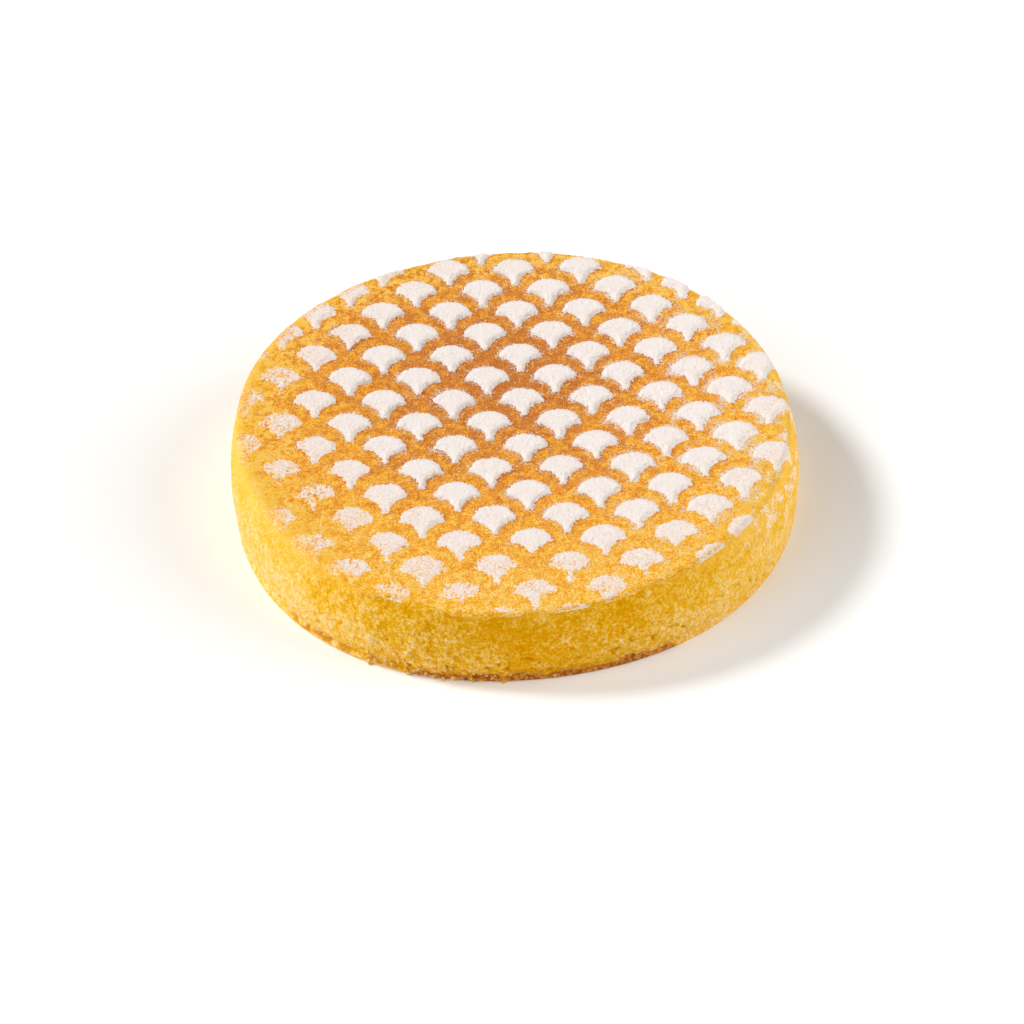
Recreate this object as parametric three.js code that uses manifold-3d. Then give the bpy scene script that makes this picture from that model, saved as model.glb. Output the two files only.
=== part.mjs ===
// A round sponge cake, baked as one slab and turned out: a narrow rim, sides that bow out a
// little towards a thin browned foot, a top that slopes gently and has sunk in the middle, and
// icing sugar sifted over it through a scallop stencil, so that it lies in rows of raised fans.
// Millimetres, +Z up. The origin is the middle of the flat base.
import * as THREE from "three";
import { mergeVertices } from "three/addons/utils/BufferGeometryUtils.js";
import Module from "manifold-3d";

// Driving dimensions of the sponge.
const HEIGHT = 34; // at the middle of the top
const BASE_RADIUS = 108.9; // mean, where the side meets the foot
const RIM_RADIUS = 104.8; // mean, where the side would meet the top if the rim were sharp
const SIDE_BULGE = 2.5; // how far the side bows out half way up
const SHOULDER_WIDTH = 3.4; // the rim's rounding, measured in from the side
const SHOULDER_DROP = 3; // and measured down from the top
const SHOULDER_STEPS = 3;
const SIDE_STEPS = 4;
const SEGMENTS = 56; // around the cake
const TOP_RINGS = [0.87, 0.55]; // shares of the top's radius

// The browned foot: a thin skin that sticks out under the sponge, with a notch above it.
const FOOT_HEIGHT = 2.2;
const FOOT_LIP = 0.7;
const NOTCH_HEIGHT = 3.4;
const NOTCH_DEPTH = 0.7;

// How uneven the outline is: each wave has so many lobes, this height, and a crest at this angle.
const BASE_WAVES = [
  { lobes: 1, height: 0.76, crest: 134 },
  { lobes: 2, height: 0.9, crest: 30 },
  { lobes: 3, height: 0.9, crest: 4 },
  { lobes: 4, height: 1.1, crest: -44 },
];
const RIM_WAVES = [
  { lobes: 1, height: 0.87, crest: -120 },
  { lobes: 2, height: 1.0, crest: 33 },
  { lobes: 3, height: 0.3, crest: -58 },
  { lobes: 4, height: 0.6, crest: -26 },
];

// The top slopes up to the back, and it is dished. These are how much higher than the middle it
// stands, DISH_REACH out: by its slope, and by its dish along X, along Y and on the diagonal.
const DISH_REACH = 94.4;
const SLOPE = 3;
const DISH = { alongX: 3.5, alongY: 0.8, diagonal: -0.8 };

// The sugar: fans in rows, each row shifted half a pitch from the next.
const SUGAR_DEPTH = 0.8;
const PITCH = 26.58; // between one fan and the next in its row, and between every second row
const FIRST_FAN = new THREE.Vector2(-9.8, -28.2); // arc centre of the fan that the rows are counted from
const SUGAR_MARGIN = 2.5; // bare rim outside the stencil
const SMALLEST_FAN_SHARE = 0.3; // a fan cut smaller than this by the rim is left out

// One fan: a disc with a bite out of each lower side, which leaves a short stem.
const FAN_RADIUS = 8.2;
const BITE_RADIUS = 7.8;
const BITE = new THREE.Vector2(9.5, -8.3); // centre of the right-hand bite, from the fan's arc centre
const STEM_END = -9;
const FAN_ARC_STEPS = 7;
const BITE_ARC_STEPS = 3;

const SLIVER = 0.03; // faces that change the shape by less than this are merged away

const RADIANS = Math.PI / 180;

function waveHeight(waves, angle) {
  return waves.reduce(
    (sum, wave) => sum + wave.height * Math.cos(wave.lobes * (angle - wave.crest * RADIANS)),
    0,
  );
}

// Height of the top above the base at x, y.
function topHeight(x, y) {
  const u = x / DISH_REACH;
  const v = y / DISH_REACH;
  return HEIGHT + SLOPE * v + DISH.alongX * u * u + DISH.alongY * v * v + DISH.diagonal * u * v;
}

// Radius of the plain side at a height given as a share of the whole.
function sideRadius(share) {
  const straight = THREE.MathUtils.lerp(BASE_RADIUS, RIM_RADIUS, share);
  return straight + SIDE_BULGE * Math.sin(Math.PI * share);
}

// The cake's half section, from the middle of the base, up the side and in over the top.
function halfSection() {
  const points = [new THREE.Vector2(0, 0), new THREE.Vector2(BASE_RADIUS, 0)];
  points.push(new THREE.Vector2(BASE_RADIUS + FOOT_LIP, FOOT_HEIGHT / 2));
  points.push(new THREE.Vector2(BASE_RADIUS, FOOT_HEIGHT));
  points.push(new THREE.Vector2(BASE_RADIUS - NOTCH_DEPTH, NOTCH_HEIGHT));
  const shoulderStart = HEIGHT - SHOULDER_DROP;
  for (let step = 1; step <= SIDE_STEPS; step++) {
    const z = THREE.MathUtils.lerp(NOTCH_HEIGHT, shoulderStart, step / SIDE_STEPS);
    points.push(new THREE.Vector2(sideRadius(z / HEIGHT), z));
  }
  const inner = sideRadius(shoulderStart / HEIGHT) - SHOULDER_WIDTH;
  for (let step = 1; step <= SHOULDER_STEPS; step++) {
    const turn = (Math.PI / 2) * (step / SHOULDER_STEPS);
    points.push(
      new THREE.Vector2(
        inner + SHOULDER_WIDTH * Math.cos(turn),
        shoulderStart + SHOULDER_DROP * Math.sin(turn),
      ),
    );
  }
  TOP_RINGS.forEach((share) => points.push(new THREE.Vector2(inner * share, HEIGHT)));
  points.push(new THREE.Vector2(0, HEIGHT));
  return points;
}

// Turns the section round the Z axis, then makes it as uneven as the real cake.
function spongeGeometry() {
  const geometry = new THREE.LatheGeometry(halfSection(), SEGMENTS);
  geometry.rotateX(Math.PI / 2);
  const position = geometry.getAttribute("position");
  for (let i = 0; i < position.count; i++) {
    const nominal = new THREE.Vector3().fromBufferAttribute(position, i);
    const angle = Math.atan2(nominal.y, nominal.x);
    const share = nominal.z / HEIGHT;
    const wave = THREE.MathUtils.lerp(
      waveHeight(BASE_WAVES, angle),
      waveHeight(RIM_WAVES, angle),
      share,
    );
    const stretch = 1 + wave / BASE_RADIUS;
    const x = nominal.x * stretch;
    const y = nominal.y * stretch;
    position.setXYZ(i, x, y, share * topHeight(x, y));
  }
  return geometry;
}

// The outline of one fan about its arc centre, anticlockwise.
function fanShape() {
  // The tip is where the disc and the bite cross, on the upper side.
  const apart = BITE.length();
  const along = (FAN_RADIUS ** 2 - BITE_RADIUS ** 2 + apart ** 2) / (2 * apart);
  const across = Math.sqrt(FAN_RADIUS ** 2 - along ** 2);
  const toBite = BITE.clone().normalize();
  const tip = new THREE.Vector2(
    toBite.x * along - toBite.y * across,
    toBite.y * along + toBite.x * across,
  );
  const tipTurn = Math.atan2(tip.y, tip.x);
  const biteStart = Math.atan2(tip.y - BITE.y, tip.x - BITE.x);
  const stemTurn = Math.asin((STEM_END - BITE.y) / BITE_RADIUS);
  const biteEnd = Math.PI - stemTurn;
  const outline = [];
  for (let step = 0; step <= FAN_ARC_STEPS; step++) {
    const turn = THREE.MathUtils.lerp(tipTurn, Math.PI - tipTurn, step / FAN_ARC_STEPS);
    outline.push(new THREE.Vector2(FAN_RADIUS * Math.cos(turn), FAN_RADIUS * Math.sin(turn)));
  }
  const bite = (side, step) => {
    const turn = THREE.MathUtils.lerp(biteStart, biteEnd, step / BITE_ARC_STEPS);
    const x = BITE.x + BITE_RADIUS * Math.cos(turn);
    return new THREE.Vector2(side * x, BITE.y + BITE_RADIUS * Math.sin(turn));
  };
  for (let step = 1; step <= BITE_ARC_STEPS; step++) outline.push(bite(-1, step));
  for (let step = BITE_ARC_STEPS; step >= 1; step--) outline.push(bite(1, step));
  return new THREE.Shape(outline);
}

// A prism that is taller than the cake, standing on the base.
function prismGeometry(shape, x = 0, y = 0) {
  const geometry = new THREE.ExtrudeGeometry(shape, { depth: HEIGHT * 2, bevelEnabled: false });
  return geometry.translate(x, y, 0);
}

// The part of the top that the stencil covers, as one outline.
function stencilShape() {
  const inner = RIM_RADIUS - SUGAR_MARGIN;
  const outline = [];
  for (let step = 0; step < SEGMENTS; step++) {
    const angle = (step / SEGMENTS) * 2 * Math.PI;
    const radius = inner + waveHeight(RIM_WAVES, angle);
    outline.push(new THREE.Vector2(radius * Math.cos(angle), radius * Math.sin(angle)));
  }
  return new THREE.Shape(outline);
}

// Arc centres of every fan in the stencil that could reach the cake.
function fanCentres() {
  const centres = [];
  const most = Math.ceil((4 * RIM_RADIUS) / PITCH);
  for (let row = -most; row <= most; row++) {
    for (let column = -most; column <= most; column++) {
      if ((row + column) % 2 !== 0) continue;
      const x = FIRST_FAN.x + (column * PITCH) / 2;
      const y = FIRST_FAN.y + (row * PITCH) / 2;
      if (Math.hypot(x, y) < RIM_RADIUS + FAN_RADIUS) centres.push(new THREE.Vector2(x, y));
    }
  }
  return centres;
}

const wasm = await Module();
wasm.setup();

function solidOf(geometry) {
  const bare = geometry.clone();
  bare.deleteAttribute("normal");
  bare.deleteAttribute("uv");
  const merged = mergeVertices(bare, 1e-4);
  const vertProperties = merged.getAttribute("position").array;
  return new wasm.Manifold(
    new wasm.Mesh({ numProp: 3, vertProperties, triVerts: new Uint32Array(merged.index.array) }),
  );
}

function geometryOf(solid) {
  const mesh = solid.getMesh();
  const geometry = new THREE.BufferGeometry();
  geometry.setAttribute("position", new THREE.BufferAttribute(mesh.vertProperties, mesh.numProp));
  geometry.setIndex(new THREE.BufferAttribute(mesh.triVerts, 1));
  geometry.computeVertexNormals();
  return geometry;
}

// The fans as far as the rim cuts them, as one solid of upright prisms.
function stencilSolid() {
  const fan = fanShape();
  const covered = solidOf(prismGeometry(stencilShape()));
  const wholeVolume = solidOf(prismGeometry(fan)).volume();
  const kept = fanCentres()
    .map((centre) => solidOf(prismGeometry(fan, centre.x, centre.y)).intersect(covered))
    .filter((prism) => prism.volume() > SMALLEST_FAN_SHARE * wholeVolume);
  return wasm.Manifold.union(kept);
}

// Sponge and sugar are one piece: the sugar is the sponge's own top, lifted by the sugar's depth.
function cakeGeometry() {
  const sponge = solidOf(spongeGeometry());
  const lifted = sponge.translate([0, 0, SUGAR_DEPTH]);
  const cake = sponge.add(lifted.intersect(stencilSolid()));
  return geometryOf(cake.simplify(SLIVER));
}

const sponge = new THREE.Mesh(
  cakeGeometry(),
  new THREE.MeshStandardMaterial({ color: 0xe9a93a, roughness: 0.9, metalness: 0 }),
);
sponge.name = "sponge";

const cake = new THREE.Group();
cake.add(sponge);

export default cake;
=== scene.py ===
"""A round sponge cake under sifted icing sugar, dressed for a studio picture.

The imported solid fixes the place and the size. This script replaces it with the open crumb of
the sides, the browned skin of the top, the raised fans of sugar that were sifted through a
scallop stencil, the loose dust between them, and the crumbs that cling to the sides.
Sizes are in millimetres, unless a name says otherwise, and become metres as each mesh is made.
"""

import logging
import math
from contextlib import contextmanager
from dataclasses import dataclass
from enum import Enum
from typing import Iterator

import bmesh
import bpy
import numpy as np
from mathutils import Matrix, Vector, noise
from mathutils.bvhtree import BVHTree

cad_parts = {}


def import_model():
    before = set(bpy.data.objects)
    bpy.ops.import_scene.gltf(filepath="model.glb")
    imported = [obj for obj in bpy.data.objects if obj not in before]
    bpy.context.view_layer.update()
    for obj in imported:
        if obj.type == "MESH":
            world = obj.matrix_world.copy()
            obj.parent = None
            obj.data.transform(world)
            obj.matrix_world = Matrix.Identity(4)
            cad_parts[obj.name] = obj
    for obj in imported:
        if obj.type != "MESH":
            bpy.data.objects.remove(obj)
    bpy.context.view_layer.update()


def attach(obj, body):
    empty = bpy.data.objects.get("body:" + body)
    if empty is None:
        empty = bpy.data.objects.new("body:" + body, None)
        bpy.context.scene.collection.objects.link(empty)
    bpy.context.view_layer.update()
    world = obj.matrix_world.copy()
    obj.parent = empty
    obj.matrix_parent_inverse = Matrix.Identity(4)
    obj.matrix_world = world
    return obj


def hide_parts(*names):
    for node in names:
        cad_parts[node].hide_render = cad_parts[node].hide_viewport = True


MM = 0.001
BODY = "root"
NODE = "sponge"
WEIGHT_LEVELS = 50  # how finely vertex weights are told apart
UNPOLISHED = {"Specular_IOR_Level": 0.0}  # what the finishes with no shine at all share

log = logging.getLogger("sponge_cake")

Colour = tuple[float, float, float]
Span = tuple[float, float]  # where a change starts and where it ends
Array = np.ndarray
Piece = bpy.types.Object
Material = bpy.types.Material
NodeTree = bpy.types.NodeTree


# --- The cake's form, which every piece is laid on ---


@dataclass(frozen=True)
class Wave:
    """One wave of an uneven outline: so many lobes, this high, with a crest at this angle."""

    lobes: int
    height: float
    crest_deg: float

    def at(self, angle: Array) -> Array:
        """Returns the wave's height at each angle, in radians."""
        return self.height * np.cos(self.lobes * (angle - math.radians(self.crest_deg)))


@dataclass(frozen=True)
class CakeForm:
    """The cake's true shape, with the same values as the solid has."""

    height: float = 34.0
    base_radius: float = 108.9
    rim_radius: float = 104.8
    side_bulge: float = 2.5
    shoulder_width: float = 3.4
    shoulder_drop: float = 3.0
    foot_height: float = 2.2
    foot_lip: float = 0.7
    notch_height: float = 3.4
    notch_depth: float = 0.7
    notch_end: float = 6.12  # where the side above the notch is plain again
    dish_reach: float = 94.4
    slope: float = 3.0
    dish_along_x: float = 3.5
    dish_along_y: float = 0.8
    dish_diagonal: float = -0.8
    base_waves: tuple[Wave, ...] = (
        Wave(1, 0.76, 134),
        Wave(2, 0.9, 30),
        Wave(3, 0.9, 4),
        Wave(4, 1.1, -44),
    )
    rim_waves: tuple[Wave, ...] = (
        Wave(1, 0.87, -120),
        Wave(2, 1.0, 33),
        Wave(3, 0.3, -58),
        Wave(4, 0.6, -26),
    )

    @property
    def shoulder_start(self) -> float:
        """Height at which the side begins to round in."""
        return self.height - self.shoulder_drop

    @property
    def inner_radius(self) -> float:
        """Radius at which the shoulder has become the top."""
        return float(self.side_radius(np.array(self.shoulder_start))) - self.shoulder_width

    @property
    def shoulder_length(self) -> float:
        """Length of the shoulder's rounding, from the top to the side."""
        return math.pi / 2 * math.hypot(self.shoulder_width, self.shoulder_drop) / math.sqrt(2)

    def side_radius(self, z: Array) -> Array:
        """Returns the plain side's radius at each height."""
        share = z / self.height
        straight = self.base_radius + (self.rim_radius - self.base_radius) * share
        return straight + self.side_bulge * np.sin(math.pi * share)

    def foot_radius(self, z: Array) -> Array:
        """Returns the side's radius at each height, with the foot and the notch above it."""
        outline = (
            (0.0, self.base_radius),
            (self.foot_height / 2, self.base_radius + self.foot_lip),
            (self.foot_height, self.base_radius),
            (self.notch_height, self.base_radius - self.notch_depth),
            (self.notch_end, float(self.side_radius(np.array(self.notch_end)))),
        )
        return np.where(z < self.notch_end, np.interp(z, *zip(*outline)), self.side_radius(z))

    def top_height(self, x: Array, y: Array) -> Array:
        """Returns the height of the sloping, gently sunken top at each place."""
        u, v = x / self.dish_reach, y / self.dish_reach
        rise = self.dish_along_x * u * u + self.dish_along_y * v * v + self.dish_diagonal * u * v
        return self.height + self.slope * v + rise

    def stretch(self, angle: Array, share: "Array | float" = 1.0) -> Array:
        """Returns how much further out the uneven outline lies than the round one.

        Args:
            angle: where around the cake, in radians.
            share: height as a share of the cake's.
        """
        base = sum(wave.at(angle) for wave in self.base_waves)
        rim = sum(wave.at(angle) for wave in self.rim_waves)
        return 1 + (base + (rim - base) * share) / self.base_radius

    def uneven(self, radius: Array, angle: Array, z: Array) -> Array:
        """Takes points of the round cake to the real, uneven one.

        Returns:
            The points, one row each, in millimetres.
        """
        share = z / self.height
        far = radius * self.stretch(angle, np.clip(share, 0, 1))
        x, y = far * np.cos(angle), far * np.sin(angle)
        return np.stack([x, y, share * self.top_height(x, y)], axis=-1)

    def lay(self, flat: Array, lift: Array) -> Array:
        """Lays points that are given flat, as on a table, over the top and its shoulder.

        Args:
            flat: the points, of which x and y are used.
            lift: how far each point stands off the surface.

        Returns:
            The points, one row each, in millimetres.
        """
        angle, reach = polar(flat)
        radius = reach / self.stretch(angle)
        beyond = np.maximum(radius - self.inner_radius, 0)
        turn = np.minimum(beyond / self.shoulder_length, 1) * math.pi / 2
        past_shoulder = np.maximum(beyond - self.shoulder_length, 0)
        out = np.minimum(radius, self.inner_radius) + (self.shoulder_width + lift) * np.sin(turn)
        z = self.shoulder_start + (self.shoulder_drop + lift) * np.cos(turn) - past_shoulder
        return self.uneven(out, angle, z)


# --- Numbers for many points at once ---


def polar(points: Array) -> tuple[Array, Array]:
    """Returns each point's angle about the middle, in radians, and how far out it lies."""
    return np.arctan2(points[:, 1], points[:, 0]), np.hypot(points[:, 0], points[:, 1])


def smooth_step(low: float, high: float, value: Array) -> Array:
    """Returns 0 at low and before it, 1 at high and past it, and an even change between."""
    share = np.clip((value - low) / (high - low), 0, 1)
    return share * share * (3 - 2 * share)


@dataclass(frozen=True)
class Lumps:
    """Soft noise: how high its lumps are, how large, and a shift that sets it apart."""

    height: float
    size: float
    shift: float = 0.0

    def at(self, points: Array) -> Array:
        """Returns the noise at each point, up to about the height above or below 0."""
        spots = ((points + self.shift) / self.size).tolist()
        return self.height * np.array([noise.noise(spot) for spot in spots])


# --- Mesh helpers ---


def deselect_all() -> None:
    """Leaves no object selected."""
    for piece in bpy.context.selected_objects:
        piece.select_set(False)


def make_active(piece: Piece) -> None:
    """Makes one piece the only one selected, and the active one."""
    deselect_all()
    piece.select_set(True)
    bpy.context.view_layer.objects.active = piece


def added(name: str) -> Piece:
    """Names the object that was just added and returns it."""
    piece = bpy.context.active_object
    piece.name = piece.data.name = name
    return piece


def add_drum(
    name: str, sides: int, radius: float, depth: float, middle: tuple[float, ...] = (0, 0, 0)
) -> Piece:
    """Adds an upright cylinder and returns it.

    Args:
        name: its name.
        sides: how many flat sides it has.
        radius: its radius.
        depth: its height, half above and half below its middle.
        middle: where its middle is.
    """
    deselect_all()
    bpy.ops.mesh.primitive_cylinder_add(
        vertices=sides,
        radius=radius * MM,
        depth=depth * MM,
        location=tuple(value * MM for value in middle),
    )
    return added(name)


def put_in_scene(name: str, data: "bpy.types.ID | None") -> Piece:
    """Adds an object with this name and data to the scene."""
    piece = bpy.data.objects.new(name, data)
    bpy.context.scene.collection.objects.link(piece)
    return piece


def places(piece: Piece) -> Array:
    """Returns a piece's vertices, one row each, in millimetres."""
    flat = np.empty(len(piece.data.vertices) * 3, np.float32)
    piece.data.vertices.foreach_get("co", flat)
    return flat.reshape(-1, 3).astype(float) / MM


def move_to(piece: Piece, points: Array) -> None:
    """Moves a piece's vertices to these points, in millimetres."""
    piece.data.vertices.foreach_set("co", (points * MM).astype(np.float32).ravel())
    piece.data.update()


def normals(piece: Piece) -> Array:
    """Returns the normal at each of a piece's vertices."""
    flat = np.empty(len(piece.data.vertices) * 3, np.float32)
    piece.data.vertex_normals.foreach_get("vector", flat)
    return flat.reshape(-1, 3).astype(float)


@contextmanager
def editing(piece: Piece, mode: str) -> Iterator[bmesh.types.BMesh]:
    """Opens a piece's mesh for editing by "EDGE" or "FACE", with nothing selected."""
    make_active(piece)
    bpy.ops.object.mode_set(mode="EDIT")
    bpy.ops.mesh.select_mode(type=mode)
    bpy.ops.mesh.select_all(action="DESELECT")
    yield bmesh.from_edit_mesh(piece.data)
    bpy.ops.object.mode_set(mode="OBJECT")


def apply_modifier(piece: Piece, kind: str, **settings: object) -> None:
    """Adds one modifier to a piece, with these settings, and applies it."""
    modifier = piece.modifiers.new("shape", kind)
    for key, value in settings.items():
        setattr(modifier, key, value)
    make_active(piece)
    bpy.ops.object.modifier_apply(modifier=modifier.name)


def even_faces(piece: Piece, step: float) -> None:
    """Rebuilds a piece's surface from even faces of this size."""
    apply_modifier(piece, "REMESH", mode="VOXEL", voxel_size=step * MM)


def combine(piece: Piece, tool: Piece, operation: str, solver: str) -> None:
    """Joins a piece with a tool's shape, or cuts it by that, and removes the tool."""
    apply_modifier(piece, "BOOLEAN", operation=operation, solver=solver, object=tool)
    bpy.data.objects.remove(tool)


def keep_above_zero(piece: Piece) -> None:
    """Cuts a piece off flat at height 0 and closes it there."""
    with editing(piece, "FACE"):
        bpy.ops.mesh.select_all(action="SELECT")
        bpy.ops.mesh.bisect(
            plane_co=(0, 0, 0), plane_no=(0, 0, 1), use_fill=True, clear_inner=True
        )


def weigh(piece: Piece, name: str, weights: Array) -> None:
    """Gives a piece a vertex group, with a weight from 0 to 1 for each vertex."""
    group = piece.vertex_groups.new(name=name)
    levels = np.round(np.clip(weights, 0, 1) * WEIGHT_LEVELS).astype(int)
    for level in np.unique(levels[levels > 0]):
        group.add(np.flatnonzero(levels == level).tolist(), level / WEIGHT_LEVELS, "REPLACE")


def mark(piece: Piece, name: str, values: Array) -> None:
    """Stores a number for each vertex, which a material can read by name."""
    attribute = piece.data.attributes.new(name, "FLOAT", "POINT")
    attribute.data.foreach_set("value", values.astype(np.float32))


class Grain(Enum):
    """The kinds of unevenness that a surface is roughened with."""

    SOFT = "BLENDER_ORIGINAL"
    CELLS = "VORONOI_F1"


@dataclass(frozen=True)
class Relief:
    """One layer of unevenness: its kind, the size of its lumps, and how high they stand."""

    grain: Grain
    size: float
    height: float
    octaves: int = 2
    middle: float = 0.5
    flatness: float = 1.0  # how much wider than high the lumps are

    def add_to(self, piece: Piece, group: str) -> None:
        """Roughens a piece by this layer, as far as a vertex group lets it."""
        texture = bpy.data.textures.new("relief", "CLOUDS")
        texture.noise_basis = self.grain.value
        texture.noise_scale = self.size * MM
        texture.noise_depth = self.octaves
        ruler = put_in_scene("ruler", None)
        ruler.scale = (self.flatness, self.flatness, 1)
        bpy.context.view_layer.update()
        apply_modifier(
            piece,
            "DISPLACE",
            texture=texture,
            texture_coords="OBJECT",
            texture_coords_object=ruler,
            strength=self.height * MM,
            mid_level=self.middle,
            vertex_group=group,
        )
        bpy.data.objects.remove(ruler)
        bpy.data.textures.remove(texture)


def roughen(piece: Piece, layers: tuple[Relief, ...], group: str) -> None:
    """Roughens a piece by several layers, one after another."""
    for layer in layers:
        layer.add_to(piece, group)


def finish_piece(piece: Piece, material: Material) -> None:
    """Dresses a finished mesh and ties it to the cake."""
    piece.data.materials.clear()
    piece.data.materials.append(material)
    make_active(piece)
    bpy.ops.object.shade_smooth()
    for group in list(piece.vertex_groups):
        piece.vertex_groups.remove(group)
    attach(piece, BODY)
    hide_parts(NODE)
    log.info("%s: %d faces", piece.name, len(piece.data.polygons))


# --- Shader helpers ---


class Value:
    """What a node puts out over a surface. A number can be reckoned with, as in a sum."""

    def __init__(self, shader: "Shader", socket: bpy.types.NodeSocket) -> None:
        """Keeps the socket, and the node builder that it belongs to."""
        self.shader, self.socket = shader, socket

    def __add__(self, other: "Value | float") -> "Value":
        """Adds a number."""
        return self.shader.math("ADD", self, other)

    def __sub__(self, other: "Value | float") -> "Value":
        """Takes a number away."""
        return self.shader.math("SUBTRACT", self, other)

    def __rsub__(self, other: float) -> "Value":
        """Takes this away from a number."""
        return self.shader.math("SUBTRACT", other, self)

    def __mul__(self, other: "Value | float") -> "Value":
        """Multiplies by a number."""
        return self.shader.math("MULTIPLY", self, other)

    def __truediv__(self, other: float) -> "Value":
        """Divides by a number."""
        return self.shader.math("DIVIDE", self, other)

    def __abs__(self) -> "Value":
        """Drops the sign."""
        return self.shader.math("ABSOLUTE", self)

    def ramp(self, low: float, high: float) -> "Value":
        """Returns 0 where this is below low, 1 above high, and a smooth change between."""
        inputs = {0: self, 1: low, 2: high, 3: 0.0, 4: 1.0}
        return self.shader.out("MapRange", inputs, interpolation_type="SMOOTHSTEP")


class Shader:
    """Adds and links the nodes of one material or group."""

    def __init__(self, tree: NodeTree) -> None:
        """Starts on a tree that may already hold nodes."""
        self.tree = tree

    def feed(self, socket: bpy.types.NodeSocket, value: object) -> None:
        """Gives a socket a plain value, or links what another node puts out."""
        if isinstance(value, Value):
            self.tree.links.new(value.socket, socket)
        else:
            socket.default_value = value

    def node(self, kind: str, inputs: dict, **settings: object) -> bpy.types.Node:
        """Adds a node.

        Args:
            kind: the node's type, without its "ShaderNode" start.
            inputs: for each input, by name or number, what feeds it.
            settings: the node's own properties.
        """
        node = self.tree.nodes.new("ShaderNode" + kind)
        for key, value in settings.items():
            setattr(node, key, value)
        for key, value in inputs.items():
            self.feed(node.inputs[key], value)
        return node

    def out(self, kind: str, inputs: dict, output: "int | str" = 0, **settings: object) -> Value:
        """Adds a node, as node() does, and returns one of its outputs."""
        return Value(self, self.node(kind, inputs, **settings).outputs[output])

    def group(self, group: NodeTree, **inputs: object) -> dict[str, Value]:
        """Places a node group, with its own values, and returns its outputs."""
        node = self.node("Group", inputs, node_tree=group)
        return {socket.name: Value(self, socket) for socket in node.outputs}

    def math(self, operation: str, *values: "Value | float") -> Value:
        """Adds an operation on numbers and returns its result."""
        return self.out("Math", dict(enumerate(values)), operation=operation)

    def length(self, x: Value, y: Value) -> Value:
        """Returns the length of the arrow x, y."""
        return self.math("SQRT", x * x + y * y)

    def mix(self, share: "Value | float", low: object, high: object, blend: str = "MIX") -> Value:
        """Mixes two colours."""
        inputs = {0: share, 6: solid(low), 7: solid(high)}
        return self.out("Mix", inputs, 2, data_type="RGBA", blend_type=blend)

    def colours(self, value: Value, stops: "tuple[tuple[float, Colour], ...]") -> Value:
        """Returns the colour that a row of stops has at value."""
        node = self.node("ValToRGB", {0: value})
        ramp = node.color_ramp
        while len(ramp.elements) < len(stops):
            ramp.elements.new(0.5)
        for element, (position, _) in zip(ramp.elements, stops):
            element.position = position
        for element, (_, colour) in zip(ramp.elements, stops):
            element.color = (*colour, 1)
        return Value(self, node.outputs[0])

    def noise(self, place: Value, size: float, detail: float = 3, rough: float = 0.55) -> Value:
        """Returns soft noise whose lumps are so many millimetres apart, from 0 to 1."""
        inputs = {"Vector": place, "Scale": 1 / (size * MM), "Detail": detail, "Roughness": rough}
        return self.out("TexNoise", inputs)

    def place(self) -> Value:
        """Returns the place on the object, in metres."""
        return self.out("TexCoord", {}, "Object")

    def along(self, place: Value, axis: str) -> Value:
        """Returns how far along "X", "Y" or "Z" a place is, in millimetres."""
        return self.out("SeparateXYZ", {0: place}, axis) / MM

    def attribute(self, name: str) -> Value:
        """Returns the number that mark() stored under this name."""
        return self.out("Attribute", {}, "Fac", attribute_name=name)


class GroupShader(Shader):
    """The nodes of a group that several materials place, each with its own values."""

    def __init__(self, name: str, inputs: dict[str, str], outputs: dict[str, str]) -> None:
        """Makes the empty group.

        Args:
            name: the group's name.
            inputs: each input's name, and its type as in "Float", "Vector" or "Color".
            outputs: the same for each output.
        """
        super().__init__(bpy.data.node_groups.new(name, "ShaderNodeTree"))
        for sockets, way in ((inputs, "INPUT"), (outputs, "OUTPUT")):
            for key, kind in sockets.items():
                self.tree.interface.new_socket(key, in_out=way, socket_type="NodeSocket" + kind)
        source = self.tree.nodes.new("NodeGroupInput")
        self.given = {key: Value(self, source.outputs[key]) for key in inputs}
        self.sink = self.tree.nodes.new("NodeGroupOutput")

    def finish(self, **results: Value) -> NodeTree:
        """Feeds the group's outputs and returns the group."""
        for key, value in results.items():
            self.feed(self.sink.inputs[key], value)
        return self.tree


class MaterialShader(Shader):
    """The nodes of one material, which feed its Principled shader."""

    def __init__(self, name: str) -> None:
        """Makes the material."""
        self.material = bpy.data.materials.new(name)
        self.material.use_nodes = True
        super().__init__(self.material.node_tree)
        self.principled = self.tree.nodes["Principled BSDF"]

    def finish(self, **inputs: object) -> Material:
        """Feeds the shader's inputs, with "_" for each space, and returns the material."""
        for key, value in inputs.items():
            self.feed(self.principled.inputs[key.replace("_", " ")], value)
        return self.material

    def bump(self, height: Value, depth: float) -> Value:
        """Returns the normal over a fine relief, from 0 to 1, that is so many millimetres deep."""
        return self.out("Bump", {"Distance": depth * MM, "Height": height})


def solid(colour: object) -> object:
    """Gives a plain colour its fourth number, and leaves anything else alone."""
    return (*colour, 1.0) if isinstance(colour, tuple) else colour


# --- The rows of fans ---


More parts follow.
